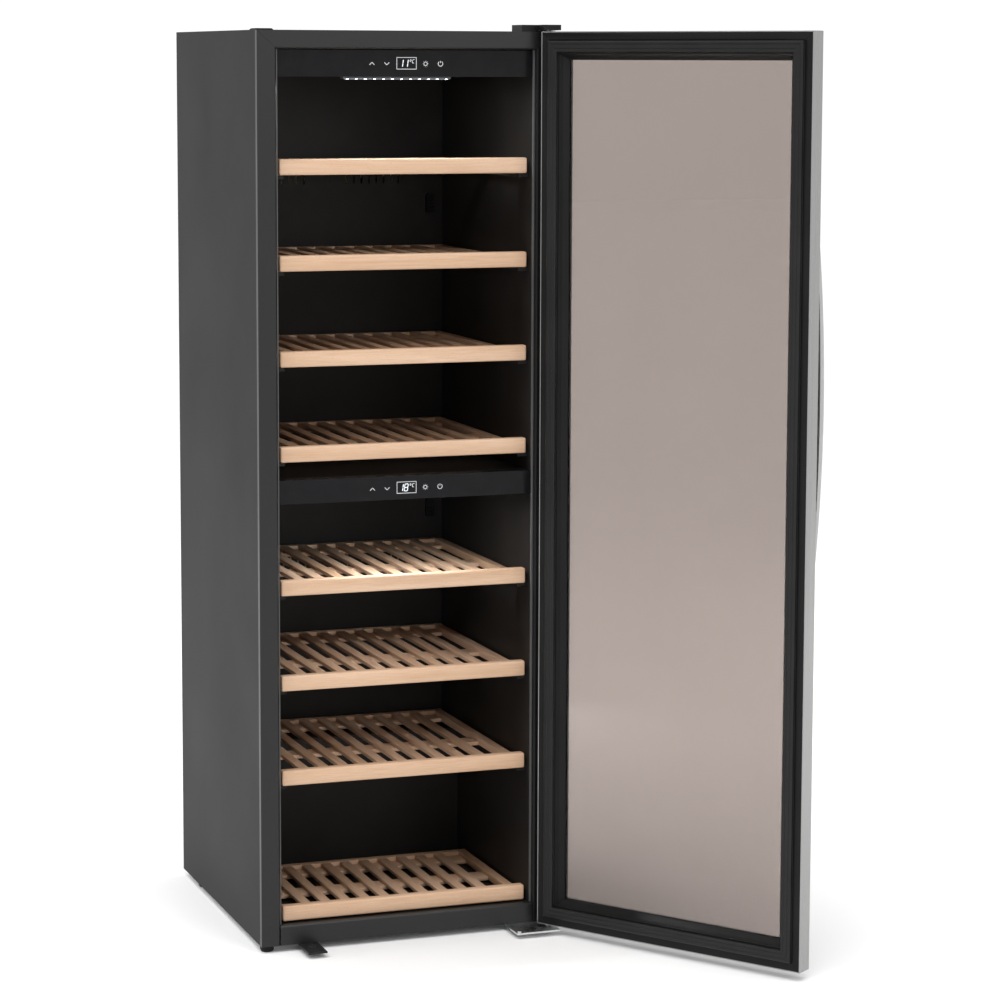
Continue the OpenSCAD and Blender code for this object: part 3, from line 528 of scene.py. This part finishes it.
def make_display(name, box, text):
    """The lit outline and digits of one display window."""
    low, high = box
    bm = bmesh.new()
    rim = DISPLAY_RIM
    for x0, x1, z0, z1 in (
        (low.x, high.x, high.z - rim, high.z),
        (low.x, high.x, low.z, low.z + rim),
        (low.x, low.x + rim, low.z + rim, high.z - rim),
        (high.x - rim, high.x, low.z + rim, high.z - rim),
    ):
        plate(bm, [(x0, z0), (x1, z0), (x1, z1), (x0, z1)], low.y)
    piece_from(bm, name + "_rim", "cabinet", MARK)
    bm = bmesh.new()
    base = (low.z + high.z - DIGIT_HEIGHT) / 2
    for k, kind in enumerate(text):
        digit(bm, kind, low.x + DIGIT_LEFT + k * DIGIT_PITCH, base, DIGIT_WIDTH, DIGIT_HEIGHT, low.y)
    small = base + DIGIT_HEIGHT - SMALL_HEIGHT
    digit(bm, "o", low.x + DEGREE_LEFT, small, SMALL_WIDTH * 0.62, SMALL_HEIGHT, low.y)
    digit(bm, "C", low.x + UNIT_LEFT, small, SMALL_WIDTH, SMALL_HEIGHT, low.y)
    piece_from(bm, name + "_digits", "cabinet", DIGIT)


def make_keys(name, face_y, z):
    """Printed marks of the touch keys: up, down, light and power."""
    bm = bmesh.new()
    for key, direction in (("up", 1), ("down", -1)):
        x = KEYS[key]
        tip = (x, z + direction * ARROW_RISE / 2)
        for side in (-1, 1):
            stroke(bm, (x + side * ARROW_WING, z - direction * ARROW_RISE / 2), tip, KEY_LINE, face_y)
    lamp = Vector((KEYS["light"], z))
    circle(bm, lamp, LAMP_RING, KEY_LINE, face_y)
    for k in range(8):
        angle = math.radians(k * 45)
        ray = Vector((math.cos(angle), math.sin(angle)))
        stroke(bm, lamp + RAY_START * ray, lamp + RAY_END * ray, KEY_LINE * 0.8, face_y)
    power = Vector((KEYS["power"], z))
    circle(bm, power, POWER_RING, KEY_LINE, face_y, *POWER_ARC)
    bar_low, bar_high = (power + Vector((0, rise)) for rise in POWER_BAR)
    stroke(bm, bar_low, bar_high, KEY_LINE, face_y)
    piece_from(bm, name, "cabinet", MARK)


def split_boxes(node):
    """The boxes of a node's two solids, the upper one first."""
    points = [v.co for v in NODES[node].data.vertices]
    low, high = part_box(node)
    middle = (low.z + high.z) / 2
    boxes = []
    for group in ([p for p in points if p.z > middle], [p for p in points if p.z < middle]):
        boxes.append((Vector([min(p[i] for p in group) for i in range(3)]),
                      Vector([max(p[i] for p in group) for i in range(3)])))
    return boxes


DISPLAY_BOXES = split_boxes("displays")
STRIP_BOXES = split_boxes("led_strips")
FACE_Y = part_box("control_panel_upper")[0].y


def make_led_strip(name, box):
    """The lit line along the lower front edge of a lamp, with a row of brighter diodes."""
    low, high = box
    bm = bmesh.new()
    rounded_box(bm, (low.x + LAMP_END, low.y + 0.0008, low.z - 0.0003),
                (high.x - LAMP_END, low.y + 0.0042, low.z + 0.0006), DIODE_ROUND)
    piece_from(bm, name + "_line", "cabinet", LED_LINE)
    bm = bmesh.new()
    for k in range(DIODES):
        x = low.x + (k + 0.5) * (high.x - low.x) / DIODES
        rounded_box(bm, (x - DIODE_WIDTH / 2, low.y + 0.0004, low.z - 0.0006),
                    (x + DIODE_WIDTH / 2, low.y + 0.0044, low.z + 0.0009), DIODE_ROUND)
    piece_from(bm, name, "cabinet", DIODE)


LEVELS = ("upper", "lower")
for level, display_box, reading in zip(LEVELS, DISPLAY_BOXES, ("11", "18")):
    make_display(f"display_{level}", display_box, reading)
for level, display_box in zip(LEVELS, DISPLAY_BOXES):
    make_keys(f"keys_{level}", FACE_Y, (display_box[0].z + display_box[1].z) / 2 - KEY_DROP)
for level, strip_box in zip(LEVELS, STRIP_BOXES):
    make_led_strip(f"diodes_{level}", strip_box)


# ---------------------------------------------------------------- refrigerant pipes

def filleted(points, radius):
    """A polyline in millimetres, as a path in metres with each corner rounded to a smooth bend."""
    steps = 6
    points = [Vector(p) * MM for p in points]
    path = [points[0]]
    for before, corner, after in zip(points, points[1:], points[2:]):
        a, b = before - corner, after - corner
        reach = min(radius * MM, a.length * 0.48, b.length * 0.48)
        start, end = corner + a.normalized() * reach, corner + b.normalized() * reach
        for k in range(steps + 1):
            t = k / steps
            path.append(start * (1 - t) ** 2 + corner * 2 * t * (1 - t) + end * t ** 2)
    path.append(points[-1])
    return path


def make_pipe(name, points, radius, bend):
    """A copper tube along a route in millimetres."""
    path = filleted(points, bend)
    curve = bpy.data.curves.new(name, "CURVE")
    curve.dimensions = "3D"
    curve.bevel_depth = radius * MM
    curve.bevel_resolution = 4
    curve.use_fill_caps = True
    spline = curve.splines.new("POLY")
    spline.points.add(len(path) - 1)
    for target, p in zip(spline.points, path):
        target.co = (*p, 1)
    spline.use_smooth = True
    curve.materials.append(COPPER)
    pipe = bpy.data.objects.new(name, curve)
    bpy.context.scene.collection.objects.link(pipe)
    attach(pipe, "cabinet")


def turned(bm, profile, centre):
    """Adds a body of revolution about a vertical line; the profile is (radius, z) from end to end."""
    steps = 32
    centre = Vector(centre)
    rings = []
    for radius, z in profile:
        angles = [k * math.tau / steps for k in range(steps if radius else 1)]
        rings.append([bm.verts.new(centre + Vector((radius * math.cos(a), radius * math.sin(a), z)))
                      for a in angles])
    for lower, upper in zip(rings, rings[1:]):
        for k in range(steps):
            j = (k + 1) % steps
            quad = [lower[k % len(lower)], lower[j % len(lower)],
                    upper[j % len(upper)], upper[k % len(upper)]]
            bm.faces.new(list(dict.fromkeys(quad)))


DRIER_X, DRIER_Y, DRIER_Z = -220, 262, 70
DRIER_LENGTH = 110


def make_drier():
    """The filter drier: a copper can with spun necks and two pressed beads."""
    neck = [(0, 0), (3.5, 0), (3.5, 7), (4.6, 9), (7.6, 12), (8.8, 15), (9, 18)]
    beads = [(9, 30), (8.2, 31.5), (8.2, 33.5), (9, 35), (9, 74), (8.2, 75.5), (8.2, 77.5), (9, 79)]
    profile = neck + beads + [(r, DRIER_LENGTH - z) for r, z in reversed(neck)]
    bm = bmesh.new()
    turned(bm, [(r * MM, z * MM) for r, z in profile], (DRIER_X * MM, DRIER_Y * MM, DRIER_Z * MM))
    return piece_from(bm, "filter_drier", "cabinet", COPPER)


# routes in millimetres; PIPE_Y is the plane of the pipes behind the back sheet
BAY_Y, PIPE_Y = 240, 306
PIPES = {
    "pipe_discharge": ([
        (38, BAY_Y, 118), (0, BAY_Y, 118), (0, BAY_Y, 240), (-246, BAY_Y, 240),
        (-246, PIPE_Y, 262), (-246, PIPE_Y, 420), (-230, PIPE_Y, 420),
    ], 3, 16),
    "pipe_liquid": ([
        (-230, PIPE_Y, 1560), (-276, PIPE_Y, 1560), (-276, PIPE_Y, 262), (-276, DRIER_Y, 240),
        (-276, DRIER_Y, DRIER_Z - 12), (DRIER_X, DRIER_Y, DRIER_Z - 12), (DRIER_X, DRIER_Y, DRIER_Z + 2),
    ], 2.4, 14),
    "pipe_suction": ([
        (44, 270, 88), (-60, 270, 88), (-60, 270, 230),
        (-60, PIPE_Y, 262), (-60, PIPE_Y, 300), (-60, 300, 300),
    ], 3, 16),
    "pipe_capillary": ([
        (DRIER_X, DRIER_Y, DRIER_Z + 107), (DRIER_X, DRIER_Y, 215), (-205, 292, 225),
        (-205, PIPE_Y, 240), (-205, PIPE_Y, 300), (-205, 300, 300),
    ], 1.5, 10),
}

for pipe_name, (route, pipe_radius, pipe_bend) in PIPES.items():
    make_pipe(pipe_name, route, pipe_radius, pipe_bend)
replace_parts(make_drier(), "refrigerant_pipes")


# ---------------------------------------------------------------- door seal, liner beads and screws

# half of the gasket's section in millimetres: (off its middle line, off the door's inner face);
# the second is negative towards the cabinet
SEAL_MIDDLE = 28.5
SEAL_HALF = [
    (8.2, 8), (8.2, 5), (10.6, 4.7), (11.0, 3.4), (10.8, 1.6), (9.6, 0.2), (9.6, -0.8), (10.7, -2.2),
    (10.9, -4.4), (10.4, -6.4), (8.9, -7.5), (5.3, -7.6), (4.7, -6.9), (3.7, -6.9), (3.1, -7.6),
]
SEAL_PROFILE = [(SEAL_MIDDLE + u, v) for u, v in SEAL_HALF]
SEAL_PROFILE += [(SEAL_MIDDLE - u, v) for u, v in reversed(SEAL_HALF)]


def make_seal():
    """The magnetic gasket: one mitred ring with folded flanks and two grooves in its face."""
    bm = bmesh.new()
    rings = []
    for u, v in SEAL_PROFILE:
        u, y = u * MM, DOOR_INNER_Y - v * MM
        left, right = DOOR_FREE_X + u, DOOR_FREE_X + DOOR_WIDTH - u
        bottom, top = DOOR_BASE + u, DOOR_TOP - u
        rings.append([bm.verts.new(ON_DOOR @ Vector((x, y, z)))
                      for x, z in ((left, bottom), (right, bottom), (right, top), (left, top))])
    for here, there in zip(rings, rings[1:] + rings[:1]):
        for k in range(4):
            j = (k + 1) % 4
            bm.faces.new((here[k], here[j], there[j], there[k]))
    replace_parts(piece_from(bm, "door_gasket", "door", SEAL), "door_seal")


BEAD_CLEAR = 0.0001
BEAD_END = 0.0003
BEAD_SET_BACK = 0.0085


def make_liner_beads():
    """Grey beads that close the joint between the liner and the two posts."""
    bm = bmesh.new()
    liner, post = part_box("liner_right")[0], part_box("frame_post_right")[0]
    rail_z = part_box("frame_rail_top")[0].z
    inner, outer = liner.x + BEAD_CLEAR, post.x - BEAD_CLEAR / 2
    for side in (-1, 1):
        x0, x1 = sorted((side * inner, side * outer))
        rounded_box(bm, (x0, post.y + BEAD_SET_BACK, liner.z + BEAD_END),
                    (x1, liner.y - BEAD_CLEAR, rail_z - BEAD_END), 0.0008)
    piece_from(bm, "liner_beads", "cabinet", BEAD)


SCREW_RADIUS = 0.0042
SCREW_HEIGHT = 0.0022
LOW_SCREW_HEIGHT = 0.0009


def screw_head(bm, x, y, z, height=SCREW_HEIGHT):
    """A pan-head screw with a cross recess, facing +Y."""
    steps, depth = 24, height * 0.55
    profile = [(1.0, 0.0), (1.0, 0.35), (0.92, 0.72), (0.72, 0.94), (0.45, 1.0)]

    def point(reach, rise, turn):
        angle = turn * math.tau / steps
        away = SCREW_RADIUS * reach
        return bm.verts.new((x + away * math.cos(angle), y + rise, z + away * math.sin(angle)))

    rings = [[point(reach, height * share, k) for k in range(steps)] for reach, share in profile]
    for a, b in zip(rings, rings[1:]):
        for k in range(steps):
            bm.faces.new((a[k], a[(k + 1) % steps], b[(k + 1) % steps], b[k]))
    bm.faces.new(rings[0])
    floor = [point(0.40 if k % 6 < 2 else 0.16, height - depth, k + 0.5) for k in range(steps)]
    for k in range(steps):
        j = (k + 1) % steps
        bm.faces.new((rings[-1][k], rings[-1][j], floor[j], floor[k]))
    bm.faces.new(floor)


def make_back_screws():
    """Screws round the back sheet and the machine cover."""
    bm = bmesh.new()
    cover_low, cover_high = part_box("machine_cover")
    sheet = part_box("back_panel")[1]
    inset, per_side = 0.012, 5
    first, last = cover_high.z + 0.06, sheet.z - 0.03
    for side in (-1, 1):
        for k in range(per_side):
            screw_head(bm, side * (sheet.x - 0.009), sheet.y, first + k * (last - first) / (per_side - 1))
        for z in (cover_low.z + inset, (cover_low.z + cover_high.z) / 2, cover_high.z - inset):
            screw_head(bm, side * (cover_high.x - inset), cover_high.y, z, LOW_SCREW_HEIGHT)
    for x in (-0.18, 0, 0.18):
        screw_head(bm, x, sheet.y, sheet.z - inset)
    piece_from(bm, "back_screws", "cabinet", ZINC)


make_seal()
make_liner_beads()
make_back_screws()


# ---------------------------------------------------------------- edges of the CAD parts

def soften(node, width):
    """Rounds the hard edges of a CAD node with modifiers, for the highlights along them."""
    piece = NODES[node]
    weld = piece.modifiers.new("weld", "WELD")
    weld.merge_threshold = 0.00002
    bevel = piece.modifiers.new("edge", "BEVEL")
    bevel.width = width
    bevel.segments = 2
    bevel.limit_method = "ANGLE"
    bevel.angle_limit = math.radians(35)
    bevel.use_clamp_overlap = True
    bevel.harden_normals = True


for node_name, radius in (
    ("door_frame", 0.0004), ("door_liner_frame", 0.0005), ("door_handle", 0.0008),
    ("hinge_cover_top", 0.0012), ("hinge_hole_cap", 0.0006), ("control_panel_upper", 0.0008),
    ("control_panel_lower", 0.0008), ("zone_divider", 0.0012), ("frame_rail_bottom", 0.0004),
    ("frame_rail_top", 0.0004), ("frame_post_left", 0.0005), ("frame_post_right", 0.0005),
    ("side_panel_left", 0.0004), ("side_panel_right", 0.0004), ("top_panel", 0.0004),
    ("machine_cover", 0.0003), ("back_panel", 0.0003), ("hinge_bracket_bottom", 0.0005),
    ("door_rest_bracket", 0.0006), ("temperature_probes", 0.0008), ("shelf_runners", 0.0008),
    ("led_strips", 0.0006), ("drip_tray", 0.0006),
):
    soften(node_name, radius)


# ---------------------------------------------------------------- studio and camera

def make_camera():
    """The photograph's viewpoint: from the front left, just below the level of the cabinet's top."""
    place = Vector((-1.8266, -5.9183, 1.7101))
    yaw = math.radians(19.756)
    pitch = math.radians(6.7876)
    roll = math.radians(0.2021)
    forward = Vector((math.sin(yaw) * math.cos(pitch), math.cos(yaw) * math.cos(pitch), -math.sin(pitch)))
    right = Vector((math.cos(yaw), -math.sin(yaw), 0))
    up = right.cross(forward)
    turned_right = right * math.cos(roll) + up * math.sin(roll)
    turned_up = up * math.cos(roll) - right * math.sin(roll)
    data = bpy.data.cameras.new("camera")
    data.lens = 111.075
    data.sensor_width = 36.0
    data.shift_y = -0.07
    data.clip_start = 0.1
    data.clip_end = 100
    camera = bpy.data.objects.new("camera", data)
    bpy.context.scene.collection.objects.link(camera)
    columns = Matrix((turned_right, turned_up, -forward)).transposed()
    camera.matrix_world = Matrix.Translation(place) @ columns.to_4x4()
    bpy.context.scene.camera = camera


def area_light(name, place, target, size, power, colour=(1, 1, 1), glossy=True):
    """A soft lamp that the camera doesn't see; glossy says whether it is mirrored in the object."""
    data = bpy.data.lights.new(name, "AREA")
    data.shape = "RECTANGLE"
    data.size, data.size_y = size
    data.energy = power
    data.color = colour
    lamp = bpy.data.objects.new(name, data)
    bpy.context.scene.collection.objects.link(lamp)
    direction = Vector(target) - Vector(place)
    lamp.rotation_euler = direction.to_track_quat("-Z", "Y").to_euler()
    lamp.location = place
    lamp.visible_camera = False
    lamp.visible_glossy = glossy


def make_floor():
    """A plain pale floor that runs out of sight."""
    mesh = bpy.data.meshes.new("studio_floor")
    half = 30.0
    corner_points = [(-half, -half, 0), (half, -half, 0), (half, half, 0), (-half, half, 0)]
    mesh.from_pydata(corner_points, [], [(0, 1, 2, 3)])
    s = Shader("floor_white")
    patch = s.noise(s.coordinates, 1.5, detail=2.0)
    s.surface(Base_Color=s.ramp(patch, [(0.3, (0.86, 0.86, 0.86)), (0.7, (0.88, 0.88, 0.88))]), Roughness=0.6)
    mesh.materials.append(s.material)
    floor = bpy.data.objects.new("studio_floor", mesh)
    bpy.context.scene.collection.objects.link(floor)


def make_world():
    """A white studio: bright round the horizon, dimmer above it, brighter again overhead."""
    world = bpy.data.worlds.new("studio")
    bpy.context.scene.world = world
    world.use_nodes = True
    tree = world.node_tree
    place = tree.nodes.new("ShaderNodeTexCoord")
    split = tree.nodes.new("ShaderNodeSeparateXYZ")
    ramp = tree.nodes.new("ShaderNodeValToRGB")
    tree.links.new(place.outputs["Generated"], split.inputs["Vector"])
    tree.links.new(split.outputs["Z"], ramp.inputs["Fac"])
    stops = [(0.0, 1.0), (0.07, 1.0), (0.22, 0.45), (0.6, 0.45), (1.0, 0.75)]
    while len(ramp.color_ramp.elements) < len(stops):
        ramp.color_ramp.elements.new(0.5)
    for element, (position, grey) in zip(ramp.color_ramp.elements, stops):
        element.position = position
        element.color = (grey, grey, grey, 1)
    background = tree.nodes["Background"]
    tree.links.new(ramp.outputs["Color"], background.inputs["Color"])
    background.inputs["Strength"].default_value = 1.04


def make_sun():
    """Very soft light from above, a little from the front left."""
    data = bpy.data.lights.new("top_light", "SUN")
    data.energy = 2.4
    data.angle = math.radians(60)
    lamp = bpy.data.objects.new("top_light", data)
    bpy.context.scene.collection.objects.link(lamp)
    lamp.rotation_euler = Vector((0.25, 0.30, -1.0)).to_track_quat("-Z", "Y").to_euler()


make_camera()
make_floor()
make_world()
make_sun()
bpy.context.scene.view_settings.view_transform = "Standard"
area_light("softbox_front", (2.0, -6.0, 3.7), (0, -0.3, 1.2), (3.2, 3.0), 64)
area_light("fill_front", (1.6, -6.0, 3.2), (0, -0.3, 1.0), (1.6, 1.6), 38, glossy=False)
area_light("fill_back", (-2.6, 4.2, 2.6), (0, 0.2, 0.9), (2.0, 2.0), 60, glossy=False)
area_light("fill_right", (4.4, 1.0, 2.4), (0, 0, 0.9), (2.0, 2.0), 45, glossy=False)
area_light("low_left", (-1.9, 0.1, 0.25), (-0.3, 0.0, 0.1), (0.9, 0.4), 15, glossy=False)
for lit_low, lit_high in STRIP_BOXES:
    area_light("strip_light", (0, lit_low.y + 0.004, lit_low.z - 0.002),
               (0, lit_low.y + 0.02, lit_low.z - 0.5), (lit_high.x - lit_low.x, 0.008),
               1.1, (0.93, 0.97, 1.0))
